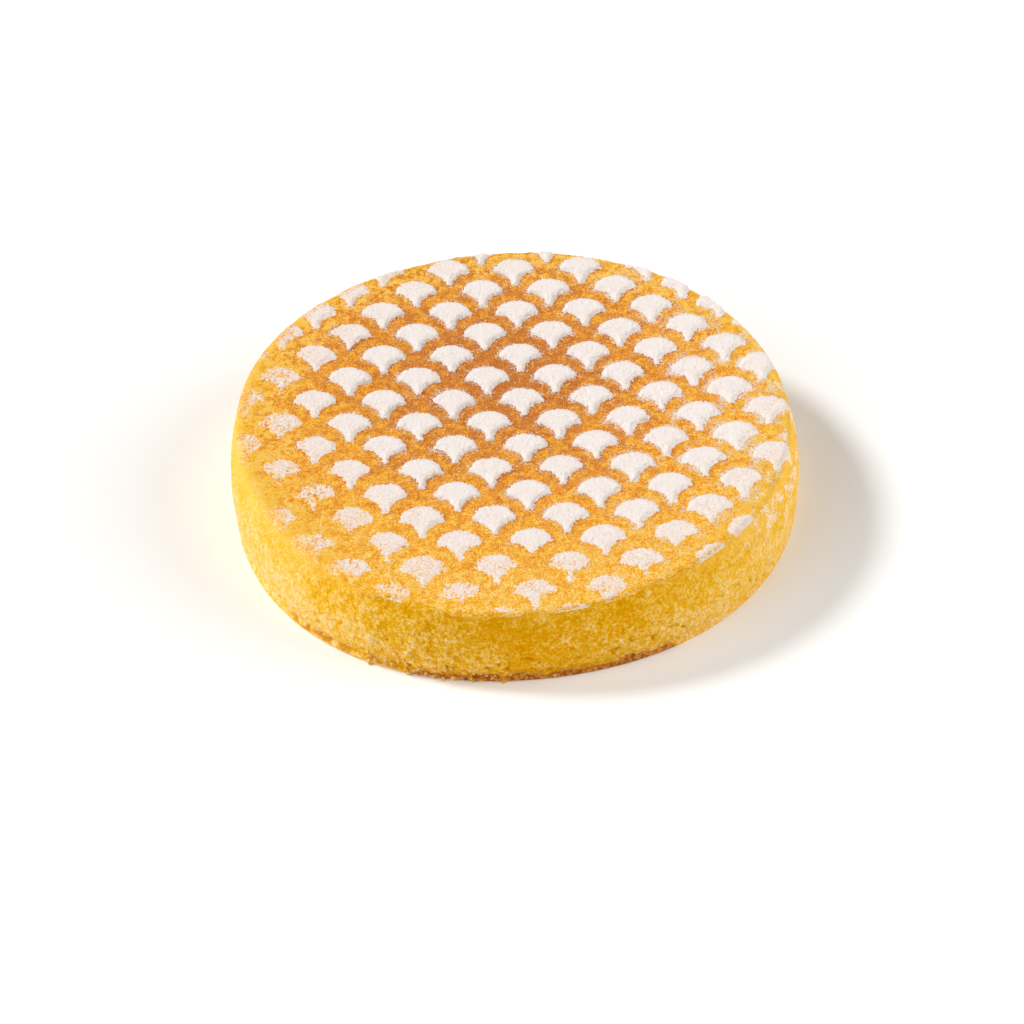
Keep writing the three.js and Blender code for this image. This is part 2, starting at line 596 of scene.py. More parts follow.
@dataclass(frozen=True)
class FanRows:
    """The stencil: one fan's outline, and the offset rows that it repeats in."""

    pitch: float = 26.58
    first_x: float = -9.8
    first_y: float = -28.8
    radius: float = 8.2
    bite_radius: float = 8.3
    bite_x: float = 9.5
    bite_y: float = -8.3
    stem_end: float = -8.4
    crown: float = 0.96  # how much lower the fan's arc is than a round one
    heap_x: float = 15.0  # the middle of where the sugar lies thickest
    heap_y: float = 22.0
    heap: Span = (60.0, 125.0)  # how far from there the sugar thins out
    thin_left: Span = (55.0, 100.0)  # and how far left it is thinner still
    thinner_left: float = 0.22

    def centres(self, reach: float) -> Iterator[tuple[float, float]]:
        """Yields the arc centre of each fan within reach of the middle."""
        most = math.ceil(4 * reach / self.pitch)
        for row in range(-most, most + 1):
            for column in range(-most, most + 1):
                x = self.first_x + column * self.pitch / 2
                y = self.first_y + row * self.pitch / 2
                if (row + column) % 2 == 0 and math.hypot(x, y) < reach:
                    yield x, y

    def thinning(self, x: Array, y: Array) -> Array:
        """Returns 0 where the sugar lies thick, rising to 1 where it runs out."""
        away = np.hypot(x - self.heap_x, y - self.heap_y)
        return smooth_step(*self.heap, away) + self.thinner_left * smooth_step(*self.thin_left, -x)

    def inside(self, x: Array, y: Array) -> Array:
        """Returns how far inside the nearest fan's edge each place is, and less than 0 outside."""
        half = self.pitch / 2
        found = []
        for shift in (0.0, half):
            near_x = (x - self.first_x - shift + half) % self.pitch - half
            near_y = (y - self.first_y - shift + half) % self.pitch - half
            below_arc = near_y * self.radius / -self.stem_end
            drawn_out = np.where(near_y < 0, below_arc, near_y / self.crown)
            in_disc = self.radius - np.hypot(near_x, drawn_out)
            to_bite = np.hypot(np.abs(near_x) - self.bite_x, near_y - self.bite_y)
            found.append(np.minimum(in_disc, to_bite - self.bite_radius))
        return np.maximum(*found)

    def make_group(self) -> NodeTree:
        """Makes the group that knows where the fans lie.

        Returns:
            A group with a Place input, in metres, and two outputs: Inside is how far inside a
            round-topped fan's edge a point is, in millimetres, and Thinning is 0 where the sugar
            lies thick, rising to 1 where it runs out.
        """
        outputs = {"Inside": "Float", "Thinning": "Float"}
        shader = GroupShader("fan_stencil", {"Place": "Vector"}, outputs)
        x, y = (shader.along(shader.given["Place"], axis) for axis in "XY")
        half = self.pitch / 2
        fans = []
        for shift in (0.0, half):
            near_x = shader.math("WRAP", x - (self.first_x + shift), half, -half)
            near_y = shader.math("WRAP", y - (self.first_y + shift), half, -half)
            in_disc = self.radius - shader.length(near_x, near_y)
            to_bite = shader.length(abs(near_x) - self.bite_x, near_y - self.bite_y)
            fans.append(shader.math("MINIMUM", in_disc, to_bite - self.bite_radius))
        away = shader.length(x - self.heap_x, y - self.heap_y)
        return shader.finish(Inside=shader.math("MAXIMUM", *fans), Thinning=away.ramp(*self.heap))


# --- Finishes ---


@dataclass(frozen=True)
class CrumbGrain:
    """The fine relief of baked crumb, and how pale it is, in three sizes of grain."""

    fineness: tuple[float, ...] = (1.0, 0.36, 0.11)
    rises: tuple[float, ...] = (0.6, 0.9, 0.0)
    paleness: tuple[float, ...] = (0.52, 0.30, 0.18)
    pores: float = 0.4
    contrast: Span = (0.36, 0.64)

    def make_group(self) -> NodeTree:
        """Makes the group.

        Returns:
            A group with a Place input, in metres, and a Grain input, in grains a metre. Its
            outputs go from 0 to 1: Height is the relief, and Tone is how pale the crumb is.
        """
        inputs = {"Place": "Vector", "Grain": "Float"}
        shader = GroupShader("baked_crumb", inputs, {"Height": "Float", "Tone": "Float"})
        place, grain = shader.given["Place"], shader.given["Grain"]
        cells = {"Vector": place, "Scale": grain}
        height = shader.out("TexVoronoi", cells, "Distance") * self.pores
        tones = []
        for fineness, rise, paleness in zip(self.fineness, self.rises, self.paleness):
            size = {"Vector": place, "Scale": grain * fineness, "Detail": 2.0, "Roughness": 0.55}
            layer = shader.out("TexNoise", size)
            height = height + layer * rise
            tones.append(layer.ramp(*self.contrast) * paleness)
        return shader.finish(Height=height, Tone=tones[0] + tones[1] + tones[2])


@dataclass(frozen=True)
class DustGrain:
    """The finest sugar dust, in specks."""

    size: float = 0.62
    bare_level: float = 0.75  # how high the noise stands where a speck lies, with no dusting
    dusted: float = 0.22  # and how much less it takes where the dusting is thick
    edge: Span = (0.0, 0.035)
    thickest: float = 0.9

    def make_group(self) -> NodeTree:
        """Makes the group.

        Returns:
            A group with a Place input, in metres, and an Amount input, from 0 for almost none to 1
            for a thick dusting. Its output Cover is how much of the surface the dust hides.
        """
        inputs = {"Place": "Vector", "Amount": "Float"}
        shader = GroupShader("sugar_dust", inputs, {"Cover": "Float"})
        specks = shader.noise(shader.given["Place"], self.size, 2, 0.5)
        needed = self.bare_level - shader.given["Amount"] * self.dusted
        return shader.finish(Cover=(specks - needed).ramp(*self.edge) * self.thickest)


@dataclass(frozen=True)
class SkinLook:
    """The browned skin: darkest round the middle of the bake, yellow at the rim."""

    bake_x: float = -6.0
    bake_y: float = 28.0
    bake_reach: float = 128.0
    grain: float = 0.9
    browns: tuple[tuple[float, Colour], ...] = (
        (0.0, (0.57, 0.20, 0.033)),
        (0.22, (0.65, 0.25, 0.038)),
        (0.45, (0.79, 0.33, 0.036)),
        (0.68, (0.89, 0.42, 0.038)),
        (0.88, (0.92, 0.51, 0.055)),
        (1.0, (0.93, 0.55, 0.08)),
    )
    # The speckle's sizes, as a multiple of the grain, and the weight of each.
    speckles: tuple[tuple[float, float], ...] = ((4.0, 0.45), (1.0, 0.2), (2.2, 0.35))
    speckle_contrast: Span = (0.38, 0.62)
    speckle_depth: float = 0.7
    broad_size: float = 14.0
    broad_depth: float = 0.3
    pit: Colour = (0.905, 0.61, 0.08)
    crest: Colour = (1.06, 1.26, 2.3)
    grit_contrast: Span = (0.30, 0.68)
    char: Colour = (0.86, 0.76, 0.60)
    toast: Colour = (1.13, 1.17, 1.30)
    toast_contrast: Span = (0.36, 0.64)
    rim_deep: Colour = (0.915, 0.455, 0.008)
    rim_pale: Colour = (0.955, 0.59, 0.105)
    rim_contrast: Span = (0.32, 0.68)
    rim: Span = (84.0, 104.0)  # how far out the skin turns yellow
    ragged: float = 40.0  # how far the speckle moves that change, in millimetres
    mottle_height: float = 0.8

    def make_group(self) -> NodeTree:
        """Makes the group for the skin, which the sugar shows through where it is thin.

        Returns:
            A group with a Place input, in metres. Its outputs are the Colour, the fine Height, and
            how far Out from the middle a point is, in millimetres, moved to and fro by the
            speckle.
        """
        outputs = {"Colour": "Color", "Height": "Float", "Out": "Float"}
        shader = GroupShader("browned_skin", {"Place": "Vector"}, outputs)
        place = shader.given["Place"]
        noises = [shader.noise(place, size * self.grain, 2) for size, _ in self.speckles]
        shares = [
            spots.ramp(*self.speckle_contrast) * weight
            for spots, (_, weight) in zip(noises, self.speckles)
        ]
        speckle = shares[0] + shares[1] + shares[2]
        near = (speckle - 0.5) * self.speckle_depth
        broad = (shader.noise(place, self.broad_size) - 0.5) * self.broad_depth
        flat = shader.out("VectorMath", {0: place, 1: (1, 1, 0)}, operation="MULTIPLY")
        middle = (self.bake_x * MM, self.bake_y * MM, 0)
        away = shader.out("VectorMath", {0: flat, 1: middle}, "Value", operation="DISTANCE")
        baked = away / (self.bake_reach * MM) + broad + near
        length = shader.out("VectorMath", {0: flat}, "Value", operation="LENGTH")
        out = length / MM + near * self.ragged
        rim = out.ramp(*self.rim) * 0.85
        patches = shader.mix(speckle.ramp(*self.rim_contrast), self.rim_deep, self.rim_pale)
        colour = shader.mix(rim, shader.colours(baked, self.browns), patches)
        grit = shader.noise(place, 0.75 * self.grain, 2, 0.6)
        shading = shader.mix(grit.ramp(*self.grit_contrast), self.pit, self.crest)
        colour = shader.mix(1.0, colour, shading, "MULTIPLY")
        finest = shader.noise(place, 0.5 * self.grain, 2, 0.6).ramp(*self.toast_contrast)
        toasted = shader.mix(finest, self.char, self.toast)
        colour = shader.mix((1 - rim) * 0.9, colour, toasted, "MULTIPLY")
        height = grit + noises[0] * self.mottle_height
        return shader.finish(Colour=colour, Height=height, Out=out)


@dataclass(frozen=True)
class SugarLook:
    """The colours of icing sugar: thick, thin, as dust, and the painted shade on the fans' lower
    right slopes.
    """

    thick: Colour = (0.88, 0.825, 0.795)
    thin: Colour = (0.84, 0.56, 0.38)
    dust: Colour = (0.90, 0.78, 0.69)
    shade: Colour = (0.66, 0.66, 0.58)


@dataclass(frozen=True)
class CrumbLook:
    """The bare, open crumb: golden in front, and paler on the left, on the right and low down."""

    pale: Colour = (0.94, 0.665, 0.33)
    plain: Colour = (0.865, 0.492, 0.032)
    deep: Colour = (0.76, 0.33, 0.0)
    painted_light_band: Colour = (0.94, 0.55, 0.09)  # painted light: a brighter band high up on the left and right, beside the skin, where the fold to the top falls in shade
    painted_light_beside: Span = (40.0, 85.0)
    painted_light_height: Span = (25.0, 33.0)
    painted_light_share: float = 0.5
    grain: float = 0.95
    tone_share: float = 1.1
    relief_shade_share: float = 0.7
    level: float = 0.91  # the sum of the two at which the crumb is plain
    paleness: float = 0.205
    paler: tuple[tuple[str, float, float, float], ...] = (  # along an axis, from, to, by
        ("X", -10.0, -105.0, 0.33),
        ("X", 15.0, 100.0, 0.22),
        ("Z", 31.0, 8.0, 0.2),
    )
    softer: Span = (30.0, 95.0)  # how far left or right the crumb has less contrast
    softening: float = 0.3
    dust_beside: Span = (60.0, 104.0)
    dust_height: Span = (2.0, 30.0)
    dust_patches: Span = (0.36, 0.62)
    dust_most: float = 1.4
    sugar: SugarLook = SugarLook()

    def make_group(self, grain: NodeTree, dust: NodeTree) -> NodeTree:
        """Makes the group for the crumb's colour, which the skin fades into beside the rim.

        Args:
            grain: the group for the finest relief.
            dust: the group for sugar dust.

        Returns:
            A group with two inputs, a Place in metres and the Relief there, from 0 for a pit to 1
            for a lump. Its outputs are the Colour and the fine Height.
        """
        inputs = {"Place": "Vector", "Relief": "Float"}
        shader = GroupShader("crumb_look", inputs, {"Colour": "Color", "Height": "Float"})
        place = shader.given["Place"]
        fine = shader.group(grain, Place=place, Grain=1 / (self.grain * MM))
        along = {axis: shader.along(place, axis) for axis in "XZ"}
        # partly painted shade: the relief darkens pits to the deep colour and pales the lumps, on
        # top of the crumb's own random tone
        rough = fine["Tone"] * self.tone_share + shader.given["Relief"] * self.relief_shade_share
        beside = abs(along["X"])
        softer = beside.ramp(*self.softer) * self.softening
        tone = (rough - self.level) * (1 - softer) + self.paleness
        for axis, start, end, paler in self.paler:
            tone = tone + along[axis].ramp(start, end) * paler
        colour = shader.colours(tone, ((0.0, self.deep), (0.46, self.plain), (0.95, self.pale)))
        # painted light: lifts the colour just under the skin on the left and right, where the
        # shoulder's fold is shaded
        painted_light_band = beside.ramp(*self.painted_light_beside) * along["Z"].ramp(*self.painted_light_height)
        colour = shader.mix(painted_light_band * self.painted_light_share, colour, self.painted_light_band)
        dusting = along["X"].ramp(*self.dust_beside) * along["Z"].ramp(*self.dust_height)
        patches = shader.noise(place, 6, 2).ramp(*self.dust_patches)
        cover = shader.group(dust, Place=place, Amount=patches * (dusting * self.dust_most))
        colour = shader.mix(cover["Cover"], colour, self.sugar.dust)
        return shader.finish(Colour=colour, Height=fine["Height"])


@dataclass(frozen=True)
class FootLook:
    """The browned foot: a dark band in front, and a thin crease over a pale lip on the left,
    coloured as browned crust with painted shade.
    """

    dark: Colour = (0.36, 0.10, 0.012)
    light: Colour = (0.66, 0.29, 0.06)
    tints: Span = (0.4, 0.6)
    height: float = 2.4
    left_end: float = -44.0
    right_end: float = 58.0  # beyond these it has stayed in the tin
    end_reach: float = 9.0
    rise: float = 3.4  # how much higher the band is drawn, and how far it is sunk at its ends
    sunk: float = 2.8
    edge: Span = (0.15, -0.45)
    fissure_x: float = 38.0
    fissure_width: float = 2.4
    fissure_height: float = 2.4
    # browned crust with painted shade, for the crease above the lip
    crease: Colour = (0.62, 0.27, 0.02)
    crease_height: float = 2.2
    crease_width: Span = (1.3, 0.5)
    crease_end: float = -98.0
    crease_breaks: Span = (0.38, 0.56)

    def brown(self, shader: Shader, place: Value, bare: Value) -> Value:
        """Returns the crumb's colour with the browned foot laid over it."""
        x, height = (shader.along(place, axis) for axis in "XZ")
        wander = (shader.noise(place, 9) - 0.5) * 4.0
        ragged = (shader.noise(place, 1.6) - 0.5) * 3.0
        # the crease: browned crust, darkened further by painted shade
        line = height - self.crease_height - wander * 0.3
        crease = abs(line).ramp(*self.crease_width)
        crease = crease * x.ramp(self.crease_end, self.crease_end + 16)
        crease = crease * x.ramp(self.left_end, self.left_end - 12)
        broken = shader.noise(place, 5, 2).ramp(*self.crease_breaks)
        colour = shader.mix(crease * broken, bare, self.crease)
        reach = self.end_reach
        here = x.ramp(self.left_end - reach, self.left_end + reach)
        here = here * x.ramp(self.right_end + reach, self.right_end - reach)
        fissure = abs(x - self.fissure_x).ramp(self.fissure_width, 0.0) * self.fissure_height
        top = here * (self.height + self.rise) - self.sunk + fissure + wander + ragged
        band = (height - top).ramp(*self.edge)
        tints = shader.noise(place, 1.6).ramp(*self.tints)
        return shader.mix(band, colour, shader.mix(tints, self.dark, self.light))


@dataclass(frozen=True)
class CrumbFinish:
    """Open crumb, with the browned foot below it or, for loose crumbs, without."""

    name: str
    foot: "FootLook | None" = None
    bump_depth: float = 0.3

    def make(self, look: NodeTree) -> Material:
        """Returns the material."""
        shader = MaterialShader(self.name)
        place = shader.place()
        crumb = shader.group(look, Place=place, Relief=shader.attribute("relief"))
        colour = crumb["Colour"]
        if self.foot is not None:
            colour = self.foot.brown(shader, place, colour)
        normal = shader.bump(crumb["Height"], self.bump_depth)
        return shader.finish(Base_Color=colour, Normal=normal, Roughness=1.0, **UNPOLISHED)


@dataclass(frozen=True)
class CrustFinish:
    """The browned skin of the top, with the sugar dust that fell beside the fans, and a painted
    shadow just below and right of each thick fan.
    """

    sugar: SugarLook = SugarLook()
    fade_beside: Span = (52.0, 92.0)  # how far left or right the skin fades into the crumb
    fade_out: Span = (92.0, 107.0)  # and how far from the middle
    drift: tuple[float, float] = (-0.7, -0.5)  # how far the dust drifted from the fans
    drift_reach: Span = (-3.0, 0.4)
    painted_lee_shade: tuple[float, float] = (0.9, -0.8)  # painted shadow: how far the dark tint below the fans' right and lower edges reaches
    painted_shade_edge: Span = (-0.5, 0.6)
    painted_shade_thinning: Span = (0.8, 0.1)
    painted_shadow_tint: Colour = (0.76, 0.60, 0.40)
    patches: Span = (0.40, 0.62)
    dust_beside: Span = (10.0, 100.0)
    dust_right: float = 0.7
    dust_all_over: float = 0.35
    dust_near: float = 0.75
    dust_thin: float = 0.1
    dust_height: float = 0.4
    bump_depth: float = 0.4

    def make(
        self, skin: NodeTree, look: NodeTree, stencil: NodeTree, dust: NodeTree
    ) -> Material:
        """Returns the material.

        Args:
            skin: the group for the browned skin.
            look: the group for bare crumb, which the skin fades into beside the rim.
            stencil: the group that knows where the fans lie.
            dust: the group for sugar dust.
        """
        shader = MaterialShader("browned_top")
        place = shader.place()
        baked = shader.group(skin, Place=place)
        crumb = shader.group(look, Place=place, Relief=0.5)
        x = shader.along(place, "X")
        fade = abs(x).ramp(*self.fade_beside) * baked["Out"].ramp(*self.fade_out)
        colour = shader.mix(fade, baked["Colour"], crumb["Colour"])
        # painted shadow: the skin is darkened just below and right of each fan, where the sugar
        # would shade it from the key lamp
        beneath = self._rows_at(shader, place, stencil, self.painted_lee_shade)
        painted_lee_shade = beneath["Inside"].ramp(*self.painted_shade_edge) * beneath["Thinning"].ramp(*self.painted_shade_thinning)
        colour = shader.mix(painted_lee_shade, colour, self.painted_shadow_tint, "MULTIPLY")
        rows = self._rows_at(shader, place, stencil, self.drift)
        near = rows["Inside"].ramp(*self.drift_reach)
        near = near * (1 - rows["Thinning"] + self.dust_thin)
        patchy = shader.noise(place, 7, 2).ramp(*self.patches)
        fallen = patchy * (x.ramp(*self.dust_beside) * self.dust_right + self.dust_all_over)
        amount = near * self.dust_near + fallen
        cover = shader.group(dust, Place=place, Amount=amount)["Cover"]
        colour = shader.mix(cover, colour, self.sugar.dust)
        normal = shader.bump(baked["Height"] + cover * self.dust_height, self.bump_depth)
        return shader.finish(Base_Color=colour, Normal=normal, Roughness=1.0, **UNPOLISHED)

    @staticmethod
    def _rows_at(
        shader: Shader, place: Value, stencil: NodeTree, shift: tuple[float, float]
    ) -> dict[str, Value]:
        """Places the stencil's group, with the rows of fans shifted by x and y in millimetres."""
        back = (-shift[0] * MM, -shift[1] * MM, 0)
        shifted = shader.out("VectorMath", {0: place, 1: back}, operation="ADD")
        return shader.group(stencil, Place=shifted)


@dataclass(frozen=True)
class SugarFinish:
    """Sifted icing sugar: nearly white and granular, with the skin showing where it is thin, and
    painted shade on the fans' lower right slopes.
    """

    look: SugarLook = SugarLook()
    freckle_size: float = 0.62
    freckle_edge: Span = (0.60, 0.36)
    freckled: float = 0.30  # how much of thick sugar is freckled, and how much more of thin
    freckled_thin: float = 2.1
    hole_size: float = 1.15
    hole_level: float = 0.12  # how low the noise stands in a hole of thick sugar, and of thin
    hole_thin: float = 0.85
    hole_edge: Span = (-0.04, 0.10)
    least_cover: float = 0.1
    shade_breaks: Span = (0.3, 0.6)
    bump_depth: float = 0.4

    def make(self, skin: NodeTree) -> Material:
        """Returns the material, with the group for the browned skin below the sugar."""
        shader, look = MaterialShader("icing_sugar"), self.look
        place = shader.place()
        bare = shader.group(skin, Place=place)
        bareness = 1 - shader.attribute("cover")
        freckles = shader.noise(place, self.freckle_size, 2, 0.6).ramp(*self.freckle_edge)
        freckles = freckles * (bareness * self.freckled_thin + self.freckled)
        white = shader.mix(freckles, look.thick, look.thin)
        # painted shade: tints the fans' lower right slopes grey, broken up by noise
        broken = shader.noise(place, 0.9, 2).ramp(*self.shade_breaks)
        white = shader.mix(shader.attribute("painted_lee_shade") * broken, white, look.shade, "MULTIPLY")
        needed = bareness * self.hole_thin + self.hole_level
        shown = (shader.noise(place, self.hole_size, 3, 0.6) - needed).ramp(*self.hole_edge)
        cover = shown * (1 - self.least_cover) + self.least_cover
        colour = shader.mix(cover, bare["Colour"], white)
        normal = shader.bump(shader.noise(place, 1.05, 2), self.bump_depth)
        return shader.finish(
            Base_Color=colour, Roughness=0.95, Specular_IOR_Level=0.04, Normal=normal
        )


@dataclass(frozen=True)
class FloorFinish:
    """A plain pale table top, lit a little from within so that it stays white."""

    colour: Colour = (0.93, 0.93, 0.925)
    glow: float = 0.08

    def make(self) -> Material:
        """Returns the material."""
        return MaterialShader("pale_floor").finish(
            Base_Color=(*self.colour, 1),
            Roughness=0.9,
            Emission_Color=(1, 1, 1, 1),
            Emission_Strength=self.glow,
            **UNPOLISHED,
        )


# --- Pieces ---


@dataclass(frozen=True)
class SpongeSides:
    """The sponge below its skin: the bare side, the browned foot and the flat base."""

    form: CakeForm
    around: int = 1240
    rows_up: int = 68
    rows_over: int = 8
    ledge: float = 7.0  # how far the crumb reaches in under the skin
    ledge_fall: float = 2.0
    cap_inset: float = 4.0
    cap_height: float = 24.0
    above_foot: Span = (0.2, 2.6)  # the height at which the crumb opens
    under_skin: Span = (0.1, 0.7)  # the turn over the shoulder at which it closes again
    less_under_skin: float = 0.8
    beside: Span = (0.3, 0.85)  # the share of the radius, left or right, at which it is finer
    less_beside: float = 0.7
    layers: tuple[Relief, ...] = (
        Relief(Grain.SOFT, 34.0, 1.3, 1, 0.5, 0.42),
        Relief(Grain.SOFT, 5.0, 0.6, 2, 0.5, 1.2),
        Relief(Grain.CELLS, 1.8, -0.8, 0, 0.4, 1.15),
        Relief(Grain.SOFT, 1.0, 0.5, 1, 0.5, 1.1),
    )
    pits: Lumps = Lumps(1.0, 2.6)
    pit_depth: float = 0.9
    pit_edge: Span = (0.30, 0.62)
    pits_start: Span = (1.5, 4.0)  # the height at which the pits start, and at which most end
    pits_end: Span = (8.0, 22.0)
    pits_ended: float = 0.8
    pits_front: Span = (-0.2, -0.8)
    pits_behind: float = 0.25
    full_relief: float = 1.8  # from the deepest pit to the highest lump

    def build(self, material: Material) -> Piece:
        """Makes the piece and dresses it."""
        piece = self._drum()
        self._shape(piece)
        self._close_under_skin(piece)
        self._roughen(piece)
        finish_piece(piece, material)
        return piece

    def _drum(self) -> Piece:
        """Adds a drum and cuts its side into rows, each 1 mm high for now."""
        rows = self.rows_up + self.rows_over
        middle = (0, 0, rows / 2)
        piece = add_drum("sponge_sides", self.around, self.form.base_radius, rows, middle)
        with editing(piece, "EDGE") as drum:
            for edge in drum.edges:
                low, high = (vertex.co.z for vertex in edge.verts)
                edge.select_set(abs(high - low) > MM)
            bpy.ops.mesh.subdivide(number_cuts=rows - 1)
        bpy.ops.object.transform_apply(location=True)
        return piece

    def _shape(self, piece: Piece) -> None:
        """Bends the rows to the cake's side and shoulder."""
        form = self.form
        points = places(piece)
        angle, _ = polar(points)
        row = np.round(points[:, 2])
        z_side = np.minimum(row / self.rows_up, 1) * form.shoulder_start
        turn = np.maximum(row - self.rows_up, 0) / self.rows_over * math.pi / 2
        radius = form.foot_radius(z_side) - form.shoulder_width * (1 - np.cos(turn))
        z = z_side + form.shoulder_drop * np.sin(turn)
        move_to(piece, form.uneven(radius, angle, z))
        open_crumb = smooth_step(*self.above_foot, z)
        open_crumb *= 1 - self.less_under_skin * smooth_step(*self.under_skin, turn)
        open_crumb *= 1 - self.less_beside * smooth_step(*self.beside, np.abs(np.cos(angle)))
        weigh(piece, "crumb", open_crumb)

    def _close_under_skin(self, piece: Piece) -> None:
        """Runs the crumb in under the skin, and closes it there with a flat cap."""
        with editing(piece, "FACE") as body:
            for face in body.faces:
                face.select_set(len(face.verts) > 4 and face.calc_center_median().z > 10 * MM)
            bpy.ops.mesh.inset(thickness=self.ledge * MM)
            bpy.ops.transform.translate(value=(0, 0, -self.ledge_fall * MM))
            bpy.ops.mesh.inset(thickness=self.cap_inset * MM)
            bpy.ops.transform.resize(value=(1, 1, 0), center_override=(0, 0, self.cap_height * MM))

    def _roughen(self, piece: Piece) -> None:
        """Opens the crumb, above the foot, and remembers how far each point moved."""
        before, facing = places(piece), normals(piece)
        roughen(piece, self.layers, "crumb")
        after = places(piece) - facing * self._pits(before)[:, None]
        after[:, 2] = np.maximum(after[:, 2], 0)
        move_to(piece, after)
        moved = ((after - before) * facing).sum(axis=1)
        mark(piece, "relief", np.clip(0.5 + moved / self.full_relief, 0, 1))

    def _pits(self, points: Array) -> Array:
        """Returns the depth of the open holes at each point: most are low on the side."""
        height = points[:, 2]
        front = smooth_step(*self.pits_front, points[:, 1] / self.form.base_radius)
        bare = smooth_step(*self.pits_start, height)
        bare *= 1 - self.pits_ended * smooth_step(*self.pits_end, height)
        bare *= self.pits_behind + (1 - self.pits_behind) * front
        return self.pit_depth * bare * smooth_step(*self.pit_edge, self.pits.at(points))


@dataclass(frozen=True)
class Ledge:
    """A stretch of the skin's edge that reaches further out, or less far, than the rest."""

    turn_deg: float
    width_deg: float
    reach: float

    def at(self, angle: Array) -> Array:
        """Returns how much further the edge reaches at each angle, in radians."""
        off = (np.degrees(angle) - self.turn_deg + 180) % 360 - 180
        return self.reach * np.exp(-((off / self.width_deg) ** 2))


@dataclass(frozen=True)
class BrownedTop:
    """The skin of the top, which ends in a thin, wavy edge on the shoulder."""

    form: CakeForm
    step: float = 0.64
    depth: float = 1.3
    sides: int = 360
    spare: float = 2.0  # how far the disc is larger than the skin before it is laid
    reach: float = 4.6  # how far the skin runs down over the shoulder
    edge: float = 1.6  # how wide its thin edge is in front
    edge_beside: float = 4.0  # and how much wider on the left and right
    edge_inset: float = 0.8
    beside: Span = (0.55, 0.9)
    farthest: Span = (1.4, 1.9)  # how far past its reach the skin has ended everywhere
    ledges: tuple[Ledge, ...] = (
        Ledge(-122, 4.5, 2.4),
        Ledge(-101, 6.0, 1.2),
        Ledge(-110, 3.5, -1.0),
        Ledge(-74, 5.0, 0.9),
        Ledge(-143, 3.0, -1.6),
        Ledge(-152, 3.5, 1.2),
        Ledge(-160, 3.0, -1.4),
        Ledge(-170, 4.0, 0.9),
    )
    wander: tuple[Lumps, ...] = (Lumps(1.4, 11.0), Lumps(0.8, 3.5))
    lift: float = 0.35
    sink: float = 0.9
    upper: float = 0.5  # how far below the top's highest point its upper face reaches
    layers: tuple[Relief, ...] = (
        Relief(Grain.SOFT, 16.0, 0.9, 2, 0.5),
        Relief(Grain.SOFT, 2.6, 0.5, 2, 0.5),
        Relief(Grain.CELLS, 1.2, -0.5, 0, 0.4),
        Relief(Grain.SOFT, 0.9, 0.3, 1, 0.5),
    )

    def build(self, material: Material) -> Piece:
        """Makes the piece and dresses it."""
        radius = self.form.inner_radius + self.reach + self.spare
        piece = add_drum("browned_top", self.sides, radius, 2 * self.depth)
        even_faces(piece, self.step)
        keep_above_zero(piece)
        self._shape(piece)
        roughen(piece, self.layers, "face")
        finish_piece(piece, material)
        return piece

    def _shape(self, piece: Piece) -> None:
        """Lays the disc over the cake, thinning it out towards its edge."""
        flat = places(piece)
        height = flat[:, 2] - flat[:, 2].max()
        angle, radius = polar(flat)
        true_radius = radius * self.form.stretch(angle)
        spot = np.stack(
            [true_radius * np.cos(angle), true_radius * np.sin(angle), 0 * height], axis=-1
        )
        out = radius + sum(lumps.at(spot) for lumps in self.wander)
        out -= sum(ledge.at(angle) for ledge in self.ledges)
        edge = self.edge + self.edge_beside * smooth_step(*self.beside, np.abs(np.cos(angle)))
        end = self.form.inner_radius + self.reach
        fade = smooth_step(0, 1, (out - (end - self.edge_inset - edge)) / edge)
        farthest = (end + past for past in self.farthest)
        fade = np.maximum(fade, smooth_step(*farthest, radius))
        lift = self.lift - (self.lift + self.sink) * fade + height
        move_to(piece, self.form.lay(spot, lift))
        weigh(piece, "face", (height > -self.upper).astype(float))


